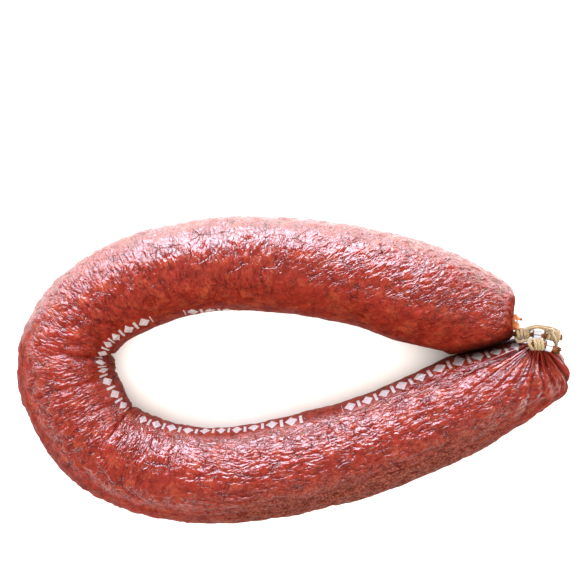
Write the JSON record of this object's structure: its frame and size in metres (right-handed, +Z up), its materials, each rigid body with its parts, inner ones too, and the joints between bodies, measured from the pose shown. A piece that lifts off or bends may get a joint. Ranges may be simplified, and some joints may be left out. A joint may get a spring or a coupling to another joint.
{
  "type": "cured sausage",
  "caption": "Ring of cured sausage in a glossy, creased red-brown casing, its gathered ends clipped with metal and tied together with twine.",
  "frame": {"origin": "centre of the footprint, on the surface the sausage lies on", "axes": "+X along the ring's length, from the tight bend to the tied ends; +Y across it, towards the far arm; +Z up"},
  "size_m": [0.2502, 0.1394, 0.0446],
  "materials": {
    "casing": "glossy, finely creased casing over coarse red meat and paler fat, stood in for by gloss plastic",
    "clip_metal": "bright crimped aluminium",
    "twine": "rough natural fibre twine"
  },
  "bodies": {
    "root": {"sausage": "casing", "clip_far": "clip_metal", "clip_near": "clip_metal", "twine": "twine"}
  },
  "joints": []
}
